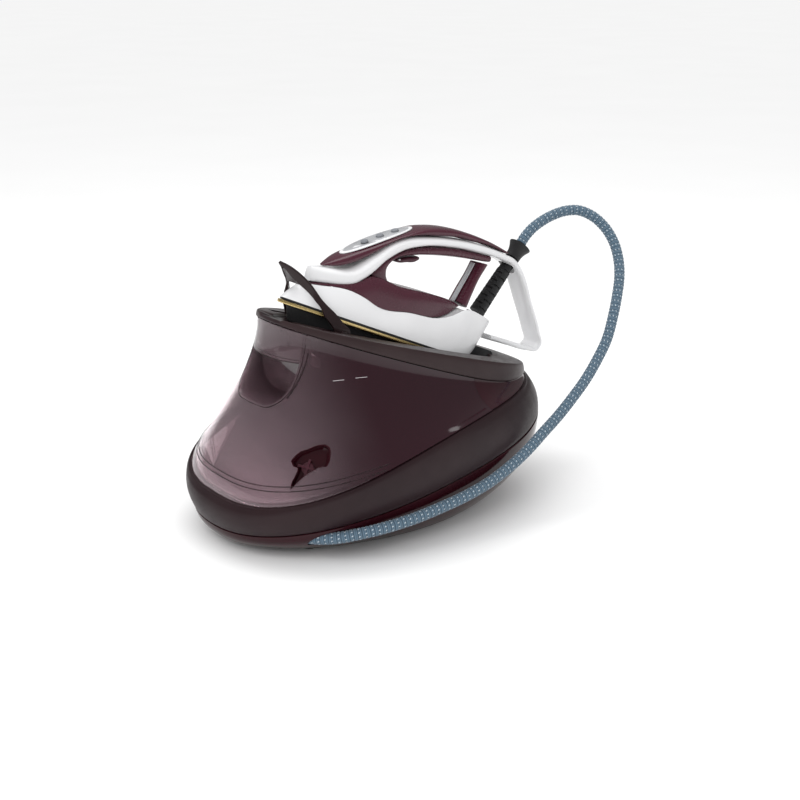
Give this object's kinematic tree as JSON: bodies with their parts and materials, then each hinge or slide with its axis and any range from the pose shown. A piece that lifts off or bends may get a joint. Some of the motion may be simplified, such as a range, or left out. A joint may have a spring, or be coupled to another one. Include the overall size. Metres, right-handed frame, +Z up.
{
  "type": "steam generator iron",
  "caption": "Steam iron locked by a hoop on a sloping rest over an egg-shaped generator base, with a tinted slide-out water tank and a braided steam hose.",
  "frame": {"origin": "under the middle of the object without its hose, at the height of the feet", "axes": "+X from the iron's toe to its heel, +Y across towards the user's left seen from the toe end, +Z up"},
  "size_m": [0.5404, 0.3043, 0.3068],
  "materials": {
    "gloss_burgundy": "high gloss moulded plastic",
    "dark_brown": "satin moulded plastic",
    "burgundy": "satin gloss moulded plastic",
    "tinted_clear": "clear tinted plastic",
    "black_rubber": "matt rubber",
    "black_plastic": "satin plastic",
    "cast_aluminium": "as cast",
    "steel": "plain turned",
    "brass_fitting": "turned",
    "board": "coated board",
    "hose_braid": "woven textile braid",
    "white_gloss": "gloss moulded plastic",
    "gold_sole": "gold-coloured glide coating",
    "silver_plastic": "metallic paint",
    "grey_plastic": "satin plastic"
  },
  "bodies": {
    "base": {"lower_casing": "gloss_burgundy", "band_housing": "dark_brown", "rear_cover": "burgundy", "platform": "dark_brown", "rest_beam": "burgundy", "rest_pad": "black_rubber", "heel_stop": "black_rubber", "boiler": "cast_aluminium", "boiler_element": "steel", "safety_valve": "brass_fitting", "steam_valve": "brass_fitting", "water_pump": "black_plastic", "pump_motor": "steel", "circuit_board": "board", "board_bracket": "black_plastic", "mains_inlet": "black_plastic", "hose_gland": "brass_fitting", "steam_pipe": "steel", "hose_lower": "hose_braid", "hoop_pin_left": "steel", "hoop_pin_right": "steel", "foot_front_left": "black_rubber", "foot_front_right": "black_rubber", "foot_rear_left": "black_rubber", "foot_rear_right": "black_rubber", "base_screw_front_left": "steel", "base_screw_front_right": "steel", "base_screw_rear_left": "steel", "base_screw_rear_right": "steel"},
    "tank": {"water_tank": "tinted_clear", "grip_pocket": "tinted_clear", "tank_lid": "tinted_clear", "outlet_valve": "black_plastic", "tank_spigot": "black_plastic", "flap_pin_left": "steel", "flap_pin_right": "steel"},
    "filler_flap": {"filler_flap": "tinted_clear"},
    "lock_hoop": {"lock_hoop": "dark_brown"},
    "iron": {"soleplate": "gold_sole", "heat_shield": "black_plastic", "heater_block": "cast_aluminium", "body_shell": "white_gloss", "mid_cover": "burgundy", "handle_frame": "white_gloss", "handle_cover": "burgundy", "handle_grip": "burgundy", "rear_pillar": "burgundy", "pillar_trim": "white_gloss", "strain_relief": "black_rubber", "hose_collar": "black_rubber", "hose_upper": "hose_braid", "trigger_pin": "steel", "control_panel": "silver_plastic", "heel_screw_left": "steel", "heel_screw_right": "steel"},
    "steam_trigger": {"steam_trigger": "grey_plastic"},
    "steam_level_button": {"steam_level_button": "grey_plastic"},
    "mode_button": {"mode_button": "grey_plastic"},
    "eco_button": {"eco_button": "grey_plastic"},
    "power_button": {"power_button": "silver_plastic"}
  },
  "joints": [
    {"name": "iron_lift", "type": "slide", "parent": "base", "child": "iron", "axis": [0.891, 0, 0.454], "range_m": [0, 0.15]},
    {"name": "lock_hoop_hinge", "type": "hinge", "parent": "base", "child": "lock_hoop", "pos_m": [-0.089, 0, 0.216], "axis": [0, -1, 0], "range_deg": [0, 18]},
    {"name": "tank_slide", "type": "slide", "parent": "base", "child": "tank", "axis": [-1, 0, 0], "range_m": [0, 0.2]},
    {"name": "flap_hinge", "type": "hinge", "parent": "tank", "child": "filler_flap", "pos_m": [-0.136, 0, 0.1956], "axis": [0, -1, 0], "range_deg": [0, 70]},
    {"name": "trigger_hinge", "type": "hinge", "parent": "iron", "child": "steam_trigger", "pos_m": [0.0141, 0, 0.2738], "axis": [0, -1, 0], "range_deg": [0, 2.5], "stiffness_Nm_per_rad": 0.5, "springref_deg": -2.86},
    {"name": "steam_level_button_press", "type": "slide", "parent": "iron", "child": "steam_level_button", "axis": [0.1633, 0, -0.9866], "range_m": [0, 0.001], "stiffness_N_per_m": 400, "springref_m": -0.001},
    {"name": "mode_button_press", "type": "slide", "parent": "iron", "child": "mode_button", "axis": [0.1633, 0, -0.9866], "range_m": [0, 0.001], "stiffness_N_per_m": 400, "springref_m": -0.001},
    {"name": "eco_button_press", "type": "slide", "parent": "iron", "child": "eco_button", "axis": [0.1633, 0, -0.9866], "range_m": [0, 0.001], "stiffness_N_per_m": 400, "springref_m": -0.001},
    {"name": "power_button_press", "type": "slide", "parent": "base", "child": "power_button", "axis": [-1, 0, 0], "range_m": [0, 0.002], "stiffness_N_per_m": 400, "springref_m": -0.001}
  ]
}
